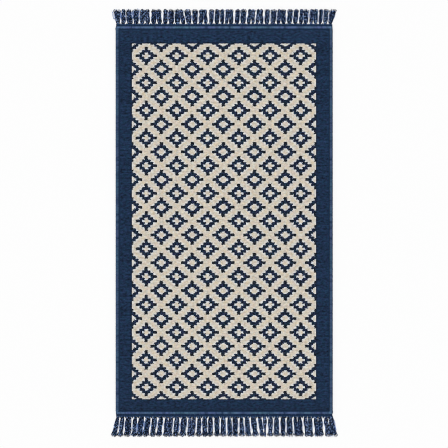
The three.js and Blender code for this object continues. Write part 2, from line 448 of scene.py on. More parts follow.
def cloth_grid(low, high, look):
    """The columns and rows of the panel's mesh inside its rounded rim: their places and their steps."""
    inset = look.edge_round
    start, end = low.x + inset, high.x - inset
    steps = steps_to(high.x, STEP_ACROSS, WARPS_PER_STEP * look.columns_per_warp)
    places = places_of(steps, *ACROSS)
    kept = places[(places > start + LEAST_COLUMN) & (places < end - LEAST_COLUMN)]
    column_places = np.concatenate([[start], kept, [end]])
    columns = np.interp(column_places, places, steps)

    turns = np.array([step for step, shift in DRIFT_ALONG])
    even = np.linspace(low.y + inset, high.y - inset, look.rows)
    row_places = np.union1d(even, places_of(turns, *ALONG))
    steps = steps_to(high.y, STEP_ALONG, 1)
    rows = np.interp(row_places, places_of(steps, *ALONG), steps)
    return column_places, columns, row_places, rows


def cloth_mesh(low, high, look):
    """The panel's mesh before its ribs: a closed slab whose columns follow the warps."""
    tuck = Vector((look.tuck, look.tuck, 0))
    low = low - tuck
    high = high + tuck
    column_places, columns, row_places, rows = cloth_grid(low, high, look)
    across, along = len(columns), len(rows)
    grid = np.arange(across * along).reshape(along, across)
    rim = np.concatenate([grid[0, :-1], grid[:-1, -1], grid[-1, :0:-1], grid[:0:-1, 0]])

    # Which way each vertex of a face lies at its edge, with 0 for those amid the face
    outwards = np.zeros((along, across, 2))
    outwards[:, 0, 0] = outwards[0, :, 1] = -1
    outwards[:, -1, 0] = outwards[-1, :, 1] = 1
    outwards = outwards.reshape(-1, 2)
    amid = (outwards == 0).all(1).astype(float)

    face = np.stack([np.tile(column_places, along), np.repeat(row_places, across)], 1)
    drop = (1 - amid) * RIM_DROP * (high.z - low.z)
    rim_heights = np.full(len(rim), (low.z + high.z) / 2)
    upper_face = np.column_stack([face, high.z - drop])
    lower_face = np.column_stack([face, low.z + drop])
    rim_places = np.column_stack([face[rim] + outwards[rim] * look.edge_round, rim_heights])
    counts = np.stack([np.tile(columns, along), np.repeat(rows, across)], 1)
    counts = np.concatenate([counts, counts, counts[rim]])

    corner = grid[:-1, :-1].ravel()
    under = across * along
    upper = np.stack([corner, corner + 1, corner + across + 1, corner + across], 1)
    middle = 2 * under + np.arange(len(rim))
    next_middle = np.roll(middle, -1)
    next_rim = np.roll(rim, -1)
    rim_upper = np.stack([rim, middle, next_middle, next_rim], 1)
    rim_lower = np.stack([middle, rim + under, next_rim + under, next_middle], 1)

    mesh = bpy.data.meshes.new("cloth base")
    places = np.concatenate([upper_face, lower_face, rim_places])
    mesh.from_pydata(places, [], np.concatenate([upper, upper[:, ::-1] + under, rim_upper, rim_lower]))
    point_numbers(mesh, "side", np.concatenate([amid, -amid, np.zeros(len(rim))]))
    point_numbers(mesh, "step_across", counts[:, 0])
    weave = mesh.uv_layers.new(name="weave")
    corners = np.empty(len(mesh.loops), np.int32)
    mesh.loops.foreach_get("vertex_index", corners)
    weave.uv.foreach_set("vector", counts[corners].astype(np.float32).ravel())
    mesh.validate()
    return mesh


def rib_rule(material):
    """Raises a rib over each warp on both faces of the cloth, and lets the ribs waver a little."""
    inputs = dict.fromkeys(("Rib Height", "Waver", "Waver Length", "Seed"), "Float")
    bench, reading = new_rule("Warp ribs", inputs)
    side = bench.stored("side")
    x, y, _ = bench.parts(bench.add("GeometryNodeInputPosition"))
    crest = abs((bench.stored("step_across") * (WARPS_PER_STEP * math.pi)).sine())
    length = reading["Waver Length"]
    unevenness = bench.noise(x / length * WAVER_STRETCH, y / length, reading["Seed"]) - 0.5
    drop = (crest - 1) * reading["Rib Height"] * (1 + unevenness * RIB_UNEVENNESS)
    shift = bench.point(unevenness * reading["Waver"] * abs(side), 0.0, drop * side)
    finish_rule(bench, bench.moved(reading["Geometry"], Offset=shift), material)
    return bench


def stepped_shape(across, along, bars):
    """1 inside a shape of stepped bars, from its distances across and along to its middle."""
    reached, width = bars[0]
    half_width = width
    for next_reached, next_width in bars[1:]:
        half_width = half_width - (along > reached) * (width - next_width)
        reached, width = next_reached, next_width
    half_width = half_width - (along > reached) * (width + 1)
    return across < half_width


def within(value, low, high):
    """1 where a reading lies between two numbers."""
    return (value > low) * (value < high)


# Where the cream pales and the navy deepens, in steps from the middle of a motif: where it starts, and
# where it is full. A lozenge pales a little further out than a cross.
NOTCH_PALES = (9.8, 7.2)
POINT_PALES = (0.9, 2.3)
POINT_PALEST = (1.7, 2.5)
TIP_DEEPENS = (4.8, 6.8)
LOZENGE_POINT = 0.88

# How fast each unevenness of the yarn changes across and along the weave, its layer of noise and its detail
WARMTH = (0.45, 0.4, 3.0, 3.0)
ROSINESS = (0.35, 0.35, 9.0, 2.0)
SLUB = (0.5, 0.6, 5.0, 3.0)
HUE = (0.4, 0.4, 14.0, 2.0)
GRAIN = (0.42, 0.72, 21.0, 3.0)
BLOTCH = (0.9, 0.8, 27.0, 2.0)

# How many tones the border's picks and warps go through in one step
TONES_PER_STEP = 0.6


def weave_beads(bench):
    """Where a place lies in the weave: its steps, its warp, its bead, and that one's middle and tone."""
    u, v, _ = bench.parts(bench.add("ShaderNodeUVMap", {"uv_map": "weave"}))

    # A pick passes over every second warp, so the beads on neighbouring warps are half a bead apart
    over = u * WARPS_PER_STEP
    warp = over.floor()
    up = v * BEADS_PER_STEP + (warp % 2) * 0.5
    bead = up.floor()
    return SimpleNamespace(
        u=u,
        v=v,
        warp=warp,
        bead=bead,
        middle_u=(warp + 0.5) / WARPS_PER_STEP,
        middle_v=(v * BEADS_PER_STEP + bead + 0.5 - up) / BEADS_PER_STEP,
        tone=bench.lot(warp * 0.37 + bead * 1.91) - 0.5,
        roundness=abs((over * math.pi).sine()) ** 0.5 * abs((up * math.pi).sine()) ** 0.6,
    )


def mottle(bench, weave, grain):
    """Noise over the weave, of one of the grains above."""
    across, along, layer, detail = grain
    return bench.noise(weave.u * across, weave.v * along, layer, detail)


def in_field(weave, margin=0.0):
    """1 where a bead lies in the field, less a margin round it."""
    across = within(weave.middle_u, FIELD_ACROSS[0] + margin, FIELD_ACROSS[1] - margin)
    return across * within(weave.middle_v, FIELD_ALONG[0] + margin, FIELD_ALONG[1] - margin)


def woven_pattern(bench, weave):
    """Which yarn shows on a bead: whether it lies in the field and in a diamond, and how far it lies in a
    notch, to the point of a light shape or to the tip of a diamond."""
    # The weaver turns a colour's edge one bead early or late here and there
    ragged_u = weave.middle_u + (bench.lot(weave.bead) - 0.5) / WARPS_PER_STEP
    ragged_v = weave.middle_v + (bench.lot(weave.warp + 500) - 0.5) / BEADS_PER_STEP
    half = REPEAT / 2
    column = abs(ragged_u % REPEAT - half)
    between_columns = half - column
    row_between = abs(ragged_v % REPEAT - half)
    row = half - row_between
    cross = stepped_shape(column, row, LIGHT_CROSS)
    lozenge = stepped_shape(between_columns, row_between, LIGHT_LOZENGE)
    cross_diamond = stepped_shape(column, row, CROSS_DIAMOND) * (1 - cross)
    lozenge_diamond = stepped_shape(between_columns, row_between, LOZENGE_DIAMOND) * (1 - lozenge)

    notch = (column + row).at_most(between_columns + row_between).smooth(*NOTCH_PALES)
    cross_reach = column.at_least(row)
    lozenge_reach = between_columns.at_least(row_between)
    field = in_field(weave)
    tip = cross_reach.smooth(*TIP_DEEPENS) * cross_diamond
    return SimpleNamespace(
        field=field,
        motif=(cross_diamond + lozenge_diamond) * field,
        notch=notch * (1 - cross) * (1 - lozenge),
        point=cross * cross_reach + lozenge * lozenge_reach * LOZENGE_POINT,
        tip=tip + lozenge_reach.smooth(*TIP_DEEPENS) * lozenge_diamond,
    )


def cream_yarn(bench, weave, pattern, look):
    """Cream yarn, mottled between warmer and cooler, and lighter and darker. It is bleached palest right
    beside the navy: in the notches, towards the light shapes' points and along the border."""
    rim = (1 - in_field(weave, look.pale_rim)) * look.rim_paleness
    pale = (pattern.notch + pattern.point.smooth(*POINT_PALES)).at_least(rim)
    warmth = mottle(bench, weave, WARMTH).smooth(0.36, 0.64)
    rosiness = mottle(bench, weave, ROSINESS).smooth(0.4, 0.68)
    cream = bench.blend(look.cream_cool, look.cream_warm, warmth)
    cream = bench.blend(cream, look.cream_rosy, rosiness * 0.7)
    cream = bench.blend(cream, look.cream_pale, pale * look.paleness)
    cream = bench.blend(cream, look.cream_point, pattern.point.smooth(*POINT_PALEST) * look.paleness)
    slub = mottle(bench, weave, SLUB) - 0.5
    return bench.brighter(cream, 1 + slub * 0.9 + weave.tone * 0.16)


def border_yarn(bench, weave, hue, edge, look):
    """Navy yarn of the border. Its picks differ in tone along the sides, its warps a little at the ends."""
    navy = bench.blend(look.navy_teal, look.navy_violet, hue)
    beside_field = 1 - within(weave.u, *FIELD_ACROSS)
    pick_tone = (bench.lot((weave.v * TONES_PER_STEP).floor() + 40) - 0.5) * beside_field * 0.36
    warp_tone = (bench.lot((weave.u * TONES_PER_STEP).floor() + 900) - 0.5) * (1 - beside_field) * 0.24
    grain = mottle(bench, weave, GRAIN) - 0.5
    tone = 1.02 + pick_tone + warp_tone + grain * 2.9 + weave.tone * 0.36 - in_field(weave, -1) * 0.25
    navy = bench.brighter(navy, tone)
    # Painted shade: near the binding the navy turns to the darker groove colour, for the shade in the groove
    # beside it
    x, y, _ = bench.place()
    shade_from_side = abs(x).smooth(edge.x - look.groove_shade_width, edge.x)
    shade_from_end = abs(y).smooth(edge.y - look.groove_shade_width, edge.y)
    return bench.blend(navy, look.groove_shade, shade_from_side.at_least(shade_from_end))


def motif_yarn(bench, weave, hue, tip, look):
    """Navy yarn of the diamonds, blotched, and darkest at their tips."""
    navy = bench.blend(look.motif_teal, look.motif_violet, hue)
    navy = bench.blend(navy, look.motif_tip, tip)
    blotch = mottle(bench, weave, BLOTCH).smooth(0.38, 0.62, 0.3, 1.9)
    return bench.brighter(navy, blotch + weave.tone * 0.2)


def cloth_finish(edge, look):
    """The cloth's material: the pattern in beads of cream and navy weft, uneven as dyed yarn is, and their
    relief. Edge is the cloth's corner, where its binding begins."""
    material, bench = new_finish("Woven cloth", YARN_FINISH)
    weave = weave_beads(bench)
    pattern = woven_pattern(bench, weave)
    hue = mottle(bench, weave, HUE).smooth(0.35, 0.65)
    border = border_yarn(bench, weave, hue, edge, look)
    colour = bench.blend(border, cream_yarn(bench, weave, pattern, look), pattern.field)
    colour = bench.blend(colour, motif_yarn(bench, weave, hue, pattern.tip, look), pattern.motif)

    # Each bead is round, with the twisted fibres of its yarn on it. Its colour is painted darker in
    # the hollows between beads and lighter on their crests, as painted shade.
    fibres = bench.noise(weave.u * 5 + weave.v * 4, weave.v * 22 - weave.u * 3, 2.0)
    colour = bench.brighter(colour, 0.84 + weave.roundness * 0.22)
    bench.dress(colour, weave.roundness + fibres * 0.3, look.bead_height, 0.84 + fibres * 0.14)
    return material


class ClothSettings(bpy.types.PropertyGroup):
    """Sizes and colours of the woven panel."""

    rib_height: length_setting("Rib Height", "How far the weft stands up over a warp", 0.0004)
    bead_height: length_setting("Bead Height", "Relief of one bead of weft", 0.0005)
    waver: length_setting("Waver", "How far a rib strays from a straight line", 0.0008)
    edge_round: length_setting("Edge Round", "Rounding of the cloth's rim", 0.0008)
    tuck: length_setting("Tuck", "How far the cloth reaches under its binding", 0.0012)
    # Painted shade: the width of the darker line painted beside the binding
    groove_shade_width: length_setting("Groove Width", "Width of the dark line beside the binding", 0.0035)
    columns_per_warp: count_setting("Columns per Warp", "Columns of the mesh for each warp", 3)
    rows: count_setting("Rows", "Evenly spaced rows of the mesh from end to end", 34)
    cream_cool: colour_setting("Cool Cream", "Coolest cream yarn", 221, 218, 206)
    cream_warm: colour_setting("Warm Cream", "Warmest cream yarn", 225, 211, 185)
    cream_pale: colour_setting("Pale Cream", "Cream yarn beside a diamond", 230, 234, 237)
    cream_point: colour_setting("Point Cream", "Cream at the light points", 223, 230, 241)
    paleness: share_setting("Paleness", "How far the cream is bleached beside the navy", 0.85)
    pale_rim: number_setting(
        "Pale Rim", "How many steps of the field's cream are bleached along the border", 1.2
    )
    rim_paleness: share_setting("Rim Paleness", "How far that cream is bleached", 0.5)
    cream_rosy: colour_setting("Rosy Cream", "Rosiest cream yarn", 224, 208, 196)
    navy_teal: colour_setting("Teal Navy", "Greenest border yarn", 26, 51, 77)
    navy_violet: colour_setting("Violet Navy", "Reddest border yarn", 31, 48, 78)
    # Painted shade: the colour painted in the groove beside the binding
    groove_shade: colour_setting("Groove", "Border yarn beside the binding", 16, 46, 77)
    motif_teal: colour_setting("Motif Teal", "Greenest yarn of the diamonds", 24, 43, 60)
    motif_violet: colour_setting("Motif Violet", "Reddest yarn of the diamonds", 32, 39, 64)
    motif_tip: colour_setting("Motif Tip", "Darkest yarn of the diamonds", 29, 34, 40)


class RUG_OT_weave_cloth(bpy.types.Operator):
    """Weaves the panel with its stepped diamonds and its border"""

    bl_idname = "rug.weave_cloth"
    bl_label = "Weave Cloth"

    def execute(self, context):
        look = context.scene.rug_cloth
        low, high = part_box("woven_panel")
        bench = rib_rule(cloth_finish(high, look))
        settings = {
            "Rib Height": look.rib_height,
            "Waver": look.waver,
            "Waver Length": WAVER_LENGTH,
            "Seed": RIB_SEED,
        }
        panel = made_by_rule("rug_cloth", cloth_mesh(low, high, look), bench, settings)
        fitted(panel, "woven_cloth", "woven_panel")
        return {"FINISHED"}


# The edge binding


# The roll's section: how full it is, as the power of a sine, and the points that its core and a stitch have
ROLL_FULLNESS = 0.6
CORE_POINTS = 9
STITCH_POINTS = 8
STITCH_SIDES = 5

# How the stitches vary: how high they stand, as a factor, and how far they lean, in radians
FULLNESS = (0.94, 1.05)
LEAN = (-0.07, 0.07)

# The painted highlight along the crest: how often a metre its broad and its fine patches, its line and its
# tint change, and the layer of noise of each
BROAD_HIGHLIGHT = (45, 3.0)
FINE_HIGHLIGHT = (110, 8.0)
HIGHLIGHT_STRAY = (60, 17.0)
HIGHLIGHT_TINT = (14, 31.0)

# How far the painted highlight strays, and where it starts and is full, in half widths of the crest
STRAY_WIDTH = 1.4 * MM
HIGHLIGHT_EDGE = (1.45, 0.55)

# How often a metre the twist of the binding's yarn changes, and its relief
TWIST_GRAIN = 900
TWIST_RELIEF = 0.2 * MM

# Each side of the binding: the axis that crosses it, how it is turned, and the middle, half the width and
# the strength of the painted highlight along its crest.
BINDINGS = {
    "binding_left": ("X", 180, -0.2964, 0.0038, 0.97),
    "binding_right": ("X", 0, 0.2953, 0.0038, 1.0),
    "binding_top": ("Y", 90, 0.5341, 0.0031, 1.0),
    "binding_bottom": ("Y", -90, -0.5353, 0.0043, 0.84),
}


def core_mesh(length, width, height):
    """The roll under the stitches, closed and mitred. Its outer edge is towards +X, and it runs along Y."""
    angles = np.linspace(0, math.pi, CORE_POINTS)
    x = -width / 2 * np.cos(angles)
    z = height * np.sin(angles) ** ROLL_FULLNESS
    drawn_back = width / 2 - x
    sections = [np.stack([x, end * (length / 2 - drawn_back), z], 1) for end in (-1, 1)]
    count = CORE_POINTS
    faces = [(i, i + count, i + count + 1, i + 1) for i in range(count - 1)]
    faces.append((count - 1, 2 * count - 1, count, 0))
    faces.append(tuple(range(count)))
    faces.append(tuple(reversed(range(count, 2 * count))))
    mesh = bpy.data.meshes.new("core base")
    mesh.from_pydata(np.concatenate(sections), [], faces)
    mesh.validate()
    return mesh


def stitch_rule(material):
    """Whips a roll with slanted stitches, which fan out by an eighth of a turn at its two corners."""
    numbers = ("Length", "Width", "Height", "Stitch Pitch", "Yarn Radius", "Slant", "Corner Reach")
    bench, reading = new_rule("Whipped stitches", dict.fromkeys(numbers, "Float") | {"Seed": "Int"})
    width = reading["Width"]
    radius = reading["Yarn Radius"]
    seed = reading["Seed"]

    # One stitch, with its outer foot at the origin
    line = bench.add("GeometryNodeCurvePrimitiveLine", {"mode": "POINTS"}, {"End": (0.0, 1.0, 0.0)})
    line = bench.add("GeometryNodeResampleCurve", {"mode": "COUNT"}, {"Curve": line, "Count": STITCH_POINTS})
    share = bench.add("GeometryNodeSplineParameter", take="Factor")
    angle = share * math.pi
    stitch_x = (angle.cosine() + 1) * (width / 2 - radius) * -1 - radius
    stitch_z = radius + (reading["Height"] - radius * 2) * angle.sine() ** ROLL_FULLNESS
    bent = bench.moved(line, Position=bench.point(stitch_x, (share - 0.5) * reading["Slant"], stitch_z))
    stitch = bench.tube(bent, STITCH_SIDES, radius)

    # The places of the stitches: along the side, then in a fan round the inner corner, widest at the mitre
    straight = reading["Length"] / 2 - width
    fan_angle = math.pi / 4
    span = (straight + width * fan_angle) * 2
    count = (span / reading["Stitch Pitch"]).floor()
    row = bench.add("GeometryNodeMeshLine", {"mode": "OFFSET"}, {"Count": count})
    along = (bench.add("GeometryNodeInputIndex") + 0.5) * (span / count) - span / 2
    end = (along > 0.0) * 2 - 1
    turned = (abs(along) - straight).at_least(0.0) / width
    stretch = (turned / fan_angle) ** 2 * reading["Corner Reach"] + 1
    foot_x = width * stretch * turned.cosine() - width / 2
    foot_y = end * (abs(along).at_most(straight) + width * stretch * turned.sine())
    values = {
        "Points": bench.moved(row, Position=bench.point(foot_x, foot_y)),
        "Instance": stitch,
        "Rotation": bench.point(0.0, 0.0, end * turned + bench.random(seed + 2, *LEAN)),
        "Scale": bench.point(stretch, 1.0, bench.random(seed + 1, *FULLNESS)),
    }
    placed = bench.add("GeometryNodeInstanceOnPoints", values=values)
    toned = bench.marked(placed, "tone", bench.random(seed), "INSTANCE")
    finish_rule(bench, bench.joined(reading["Geometry"], toned), material)
    return bench


def binding_finish(name, axis, crest, highlight_tints, look):
    """The binding's material: dark navy yarn, with a painted highlight of paler blue in patches along its
    crest. Crest is its middle, half its width and its strength."""
    middle, half_width, most = crest
    material, bench = new_finish(name, YARN_FINISH)
    x, y, _ = bench.place()
    across, along = (x, y) if axis == "X" else (y, x)
    tone = bench.mesh_value("tone")
    changes = (BROAD_HIGHLIGHT, FINE_HIGHLIGHT, HIGHLIGHT_STRAY, HIGHLIGHT_TINT)
    broad, fine, stray, tint = [bench.noise(along * often, layer) for often, layer in changes]
    # Painted highlight: the crest is painted paler in patches, for the light that falls on the top of the roll
    off_crest = abs(across - middle + (stray - 0.5) * STRAY_WIDTH)
    crest_highlight = off_crest.smooth(half_width * HIGHLIGHT_EDGE[0], half_width * HIGHLIGHT_EDGE[1])
    strength = crest_highlight * most * (0.62 + (fine + broad - 1) * 2.2 + tone * 0.4).at_most(1.25).at_least(0.1)
    dark = bench.brighter(look.shade, 0.8 + tone * 0.4)
    colour = bench.blend(dark, bench.blend(*highlight_tints, tint.smooth(0.38, 0.62)), strength)
    twist = bench.noise(x * TWIST_GRAIN, y * TWIST_GRAIN)
    bench.dress(colour, twist, TWIST_RELIEF, 0.84 + twist * 0.12)
    return material


class BindingSettings(bpy.types.PropertyGroup):
    """Sizes and colours of the edge binding."""

    stitch_pitch: length_setting("Stitch Pitch", "Distance from stitch to stitch", 0.0021)
    yarn_radius: length_setting("Yarn Radius", "Half the thickness of the whipping yarn", 0.0011)
    slant: length_setting("Slant", "How far a stitch leans", 0.0034)
    corner_reach: share_setting("Corner Reach", "How much longer the stitch at the corner is", 0.28)
    left_proud: length_setting("Left Proud", "How far the left side's stitches stand out", 0.0014)
    right_proud: length_setting("Right Proud", "How far the right side's stitches stand out", 0.0008)
    seed: count_setting("Seed", "Seed of the stitches' unevenness", 5)
    shade: colour_setting("Shade", "Yarn beside the crest", 23, 49, 80)
    # The four colours below are the crest's painted highlight
    side_highlight_teal: colour_setting("Side Teal", "Greenest crest at a side", 63, 92, 119)
    side_highlight_violet: colour_setting("Side Violet", "Reddest crest at a side", 68, 85, 120)
    end_highlight_teal: colour_setting("End Teal", "Greenest crest at an end", 84, 119, 147)
    end_highlight_violet: colour_setting("End Violet", "Reddest crest at an end", 84, 104, 150)


class RUG_OT_bind_edges(bpy.types.Operator):
    """Whips the rounded binding round the four edges"""

    bl_idname = "rug.bind_edges"
    bl_label = "Bind Edges"

    def execute(self, context):
        look = context.scene.rug_binding
        for node, (axis, turn, *crest) in BINDINGS.items():
            low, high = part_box(node)
            if node != "binding_right":
                low.x -= look.left_proud
            if node != "binding_left":
                high.x += look.right_proud
            size = high - low
            width, length = (size.x, size.y) if axis == "X" else (size.y, size.x)
            highlight_tints = (look.side_highlight_teal, look.side_highlight_violet) if axis == "X" else (look.end_highlight_teal, look.end_highlight_violet)
            side = node.removeprefix("binding_")
            material = binding_finish("Binding " + side, axis, crest, highlight_tints, look)
            bench = stitch_rule(material)
            base = core_mesh(length, width - 2 * look.yarn_radius, size.z - look.yarn_radius)
            settings = {
                "Length": length,
                "Width": width,
                "Height": size.z,
                "Stitch Pitch": look.stitch_pitch,
                "Yarn Radius": look.yarn_radius,
                "Slant": look.slant,
                "Corner Reach": look.corner_reach,
                "Seed": look.seed + turn,
            }
            piece = made_by_rule("rug_" + node, base, bench, settings)
            middle = (low + high) / 2
            place = Matrix.Translation(Vector((middle.x, middle.y, low.z)))
            piece.data.transform(place @ Matrix.Rotation(math.radians(turn), 4, "Z"))
            fitted(piece, "edge_binding", node)
        return {"FINISHED"}


# The fringes


# The plies of a yarn, in yarn radii: how far they reach from its middle line, how far their own middles lie
# from it, and their radius. Then how many sides they have.
PLY_REACH = 1.04
PLY_OFFSET = 0.45
PLY_RADIUS = 0.58
PLY_SIDES = 4

# Tones that mark a heading's innermost cord, with -2 for its outermost one, and a stray strand. Those of a
# tassel's yarns lie from 0 to 1.
HEADING_TONE = -1.0
STRAY_TONE = 2.0

# Where the yarns of a tassel lie: how far to the left or right of its middle, and the layer
YARNS = [(-1, 0), (-0.34, 0), (0.34, 0), (1, 0), (-0.66, 1), (0, 1), (0.66, 1)]

# The points along a yarn, a heading's cord, a loose fibre and a stub, and the sides of a tassel's filling
YARN_POINTS = 15
CORD_POINTS = 120
FIBRE_POINTS = 8
STUB_POINTS = 4
FILLING_SIDES = 6

# How often a metre each unevenness of the yarn changes across and along the fringe: its stretches of fading
# and painted sheen, its hue, its speckle of painted light and shade and, with the height last, its fibres
FADED_SHEEN_GRAIN = (240, 240)
HUE_GRAIN = (70, 60)
SPECKLE_GRAIN = (205, 215)
FIBRE_GRAIN = (1100, 400, 1100)

# Shares of a tassel's length: where its gaps narrow for the spread of its tips, over which share, and where
# its yarns fray
SPREAD_START = 0.8
SPREAD_SHARE = 0.12
FRAY_START = 0.96

# How many millimetres a tassel's upper layer of yarns lies above the lower one, and how much of that it
# loses by the tips
LAYER_HEIGHT = 1.75
LAYER_DROP = 0.75

# What varies from yarn to yarn, from stray to stray and from fibre to fibre, and between which two numbers.
# Lengths are in millimetres. The order is that in which they are drawn.
YARN_RANGES = {
    "thickness": (0.92, 1.1),
    "bend": (-0.4, 0.4),
    "bends": (0.8, 2.2),
    "wave": (-0.6, 0.6),
    "waves": (3, 6),
    "tip": (-1, 1),
    "rise": (-0.2, 0.3),
}
STRAY_RANGES = {
    "wave": (0.2, 0.8),
    "waves": (5, 9),
    "reach": (0.4, 3.0),
    "girth": (0.22, 0.38),
    "turn": (0, 6),
}
FIBRE_RANGES = {
    "start": (-3.5, 3.5),
    "lean": (-6, 6),
    "curl": (-4, 4),
    "curls": (0.7, 1.6),
    "near": (-3, 3),
    "length": (-4, 2),
    "girth": (0.35, 0.5),
    "turn": (0, 6),
}

# The shape of the yarns, in millimetres: a yarn's thickness as a share, by itself and for each millimetre of
# its tassel's half width; the height of a tassel's filling and half its thickness; where a stray starts inside
# its tassel, and how high it rests and arches; the same two heights of a loose fibre; how far a stub's root
# lies under the heading, its height and its radius from root to tip; and a cord's wave
GIRTH_SHARES = (0.85, 0.02)
FILLING_HEIGHT = (1.0, 0.8)
STRAY_START = 0.5
STRAY_HEIGHT = (0.7, 1.6)
FIBRE_HEIGHT = (0.5, 1.5)
STUB_DEPTH = 2.5
STUB_HEIGHT = 1.3
STUB_GIRTHS = (0.9, 0.9, 0.8, 0.4)
CORD_WAVE = 0.12

# How much of its thickness a yarn loses where it frays, and how much of its width the filling loses there
YARN_FRAY = 0.3
FILLING_FRAY = 0.35

# How far, in millimetres, a heading lies clear of the binding and reaches past it at both sides, how far
# its tape goes back under the binding, and how much narrower and shorter than the cords the tape is
HEADING_CLEAR = 0.3
HEADING_OVERHANG = 0.4
TAPE_TUCK = 1.5
TAPE_SHORT = 0.6


def eased(value):
    """0 to 1 with soft ends."""
    value = np.clip(value, 0, 1)
    return value * value * (3 - 2 * value)


def drawn(rng, ranges):
    """A number drawn from each of the ranges, by name."""
    return SimpleNamespace(**{name: rng.uniform(*ends) for name, ends in ranges.items()})


class Skein:
    """Gathers the middle lines of yarns, as edges whose points hold each yarn's thickness, tone and twist,
    and the closed bodies of fibres inside the tassels."""

    def __init__(self):
        self.points = []
        self.edges = []
        self.numbers = {"girth": [], "tone": [], "turn": [], "along": []}
        self.across = []
        self.filling = []
        self.faces = []

    def lay(self, points, girth, tone, turn):
        """Adds one yarn along points. Girth is its radius, for each point or for all."""
        points = np.asarray(points)
        first = len(self.points)
        self.points.extend(points)
        self.edges.extend((first + i, first + i + 1) for i in range(len(points) - 1))
        direction = np.gradient(points, axis=0)
        across = np.stack([-direction[:, 1], direction[:, 0], 0 * direction[:, 0]], 1)
        self.across.extend(across / np.linalg.norm(across, axis=1)[:, None])
        spans = np.linalg.norm(np.diff(points, axis=0), axis=1)
        along = np.concatenate([[0], np.cumsum(spans)])
        for label, value in {"girth": girth, "tone": tone, "turn": turn, "along": along}.items():
            self.numbers[label].extend(np.broadcast_to(value, len(points)))

    def fill(self, rings):
        """Adds the closed body that passes through rings of points."""
        first = len(self.filling)
        sides = len(rings[0])
        last = first + (len(rings) - 1) * sides
        self.filling.extend(np.concatenate(rings))
        for low in range(first, last, sides):
            for side in range(sides):
                following = (side + 1) % sides
                self.faces.append((low + side, low + following, low + sides + following, low + sides + side))
        self.faces.append(tuple(range(last, last + sides)))
        self.faces.append(tuple(reversed(range(first, first + sides))))

    def mesh(self, name):
        """All of it as one mesh."""
        mesh = bpy.data.meshes.new(name)
        count = len(self.points)
        faces = [tuple(count + corner for corner in face) for face in self.faces]
        mesh.from_pydata(np.array(self.points + self.filling) * MM, self.edges, faces)
        unset = np.zeros(len(self.filling))
        for label, numbers in self.numbers.items():
            scale = MM if label in ("girth", "along") else 1
            point_numbers(mesh, label, np.concatenate([np.array(numbers) * scale, unset]))
        across = np.concatenate([self.across, np.zeros((len(self.filling), 3))])
        point_numbers(mesh, "across", across, "FLOAT_VECTOR", "vector")
        point_numbers(mesh, "filling", np.concatenate([np.zeros(count), unset + 1]))
        return mesh


def gap_sides(gap, share, fringe, look):
    """The left and the right side of a gap, at shares of the tassels' length."""
    root, root_width, tip, tip_width = gap
    pace = look.gap_reach * (fringe["short_gap"] if tip_width < 0 else 1)
    middle = root + (tip - root) * share
    closed = np.minimum(share / pace, 1)
    width = root_width + (tip_width - root_width) * closed
    width -= np.maximum(width, 0) * np.sin(math.pi * closed) * fringe["pinch"]
    width += fringe["neck"] * (1 - eased(share / pace * 2))
    width -= fringe["tip_spread"] * eased((share - SPREAD_START) / SPREAD_SHARE)
    return middle - width / 2, middle + width / 2


def tassel_form(left_gap, right_gap, edge, fringe, look):
    """The form of the tassel between two gaps: the heading's edge, its length with the part under the
    heading, and its middle and half its width at shares of that length."""
    share = np.linspace(0, 1, YARN_POINTS)
    left = gap_sides(left_gap, share, fringe, look)[1]
    right = gap_sides(right_gap, share, fringe, look)[0]
    return SimpleNamespace(
        edge=edge,
        length=fringe["length"] + look.root_depth,
        share=share,
        middle=(left + right) / 2,
        half=(right - left) / 2,
        fraying=share > FRAY_START,
    )


def lay_yarns(skein, rng, form, look):
    """A tassel's yarns, in two layers that come out from under the heading."""
    share = form.share
    lift = eased((share * form.length - look.root_depth) / look.lift_length)
    for place, layer in YARNS:
        varied = drawn(rng, YARN_RANGES)
        girth = look.yarn_girth / MM * varied.thickness * (GIRTH_SHARES[0] + GIRTH_SHARES[1] * form.half)
        curl = varied.bend * np.sin(math.pi * share * varied.bends)
        curl += varied.wave * np.sin(math.pi * share * varied.waves) * abs(place)
        outward = share * (form.length - look.tip_round * place**2 + varied.tip) - look.root_depth
        height = girth * PLY_REACH + lift * layer * (LAYER_HEIGHT - LAYER_DROP * share + varied.rise)
        line = np.stack([form.middle + place * (form.half - girth) + curl, form.edge + outward, height], 1)
        # Painted shade: outer yarns get lower tones, so fewer of their stretches turn light and a tassel's
        # sides stay darker
        tone = rng.random() * (1 - look.side_shade * abs(place))
        skein.lay(line, girth * (1 - YARN_FRAY * form.fraying), tone, rng.uniform(0, 2 * math.pi))


def fill_tassel(skein, form, look):
    """A tassel's inner fibres, as one body at every other point of its yarns."""
    turns = np.arange(FILLING_SIDES) * math.pi / (FILLING_SIDES / 2)
    ring_z = FILLING_HEIGHT[0] + FILLING_HEIGHT[1] * np.sin(turns)
    rings = []
    for station in range(0, YARN_POINTS, 2):
        room = (form.half[station] - look.yarn_girth / MM) * (1 - FILLING_FRAY * form.fraying[station])
        outward = form.share[station] * (form.length - look.filling_short) - look.root_depth
        ring_x = form.middle[station] - room * np.cos(turns)
        ring_y = np.full(FILLING_SIDES, form.edge + outward)
        rings.append(np.stack([ring_x, ring_y, ring_z], 1))
    skein.fill(rings)


def lay_strays(skein, rng, form, look):
    """Thin strands that stray from a tassel's two sides."""
    for side in (-1, 1):
        for _ in range(look.strays):
            first = rng.integers(3, 8)
            part = slice(first, first + rng.integers(4, 7))
            away = np.linspace(0, 1, len(form.share[part]))
            varied = drawn(rng, STRAY_RANGES)
            wave = varied.wave * np.sin(away * varied.waves)
            reach = form.half[part] - STRAY_START + varied.reach * away + wave * away
            x = form.middle[part] + side * reach
            y = form.edge + form.share[part] * form.length - look.root_depth
            z = STRAY_HEIGHT[0] + STRAY_HEIGHT[1] * np.sin(math.pi * away)
            skein.lay(np.stack([x, y, z], 1), varied.girth, STRAY_TONE, varied.turn)


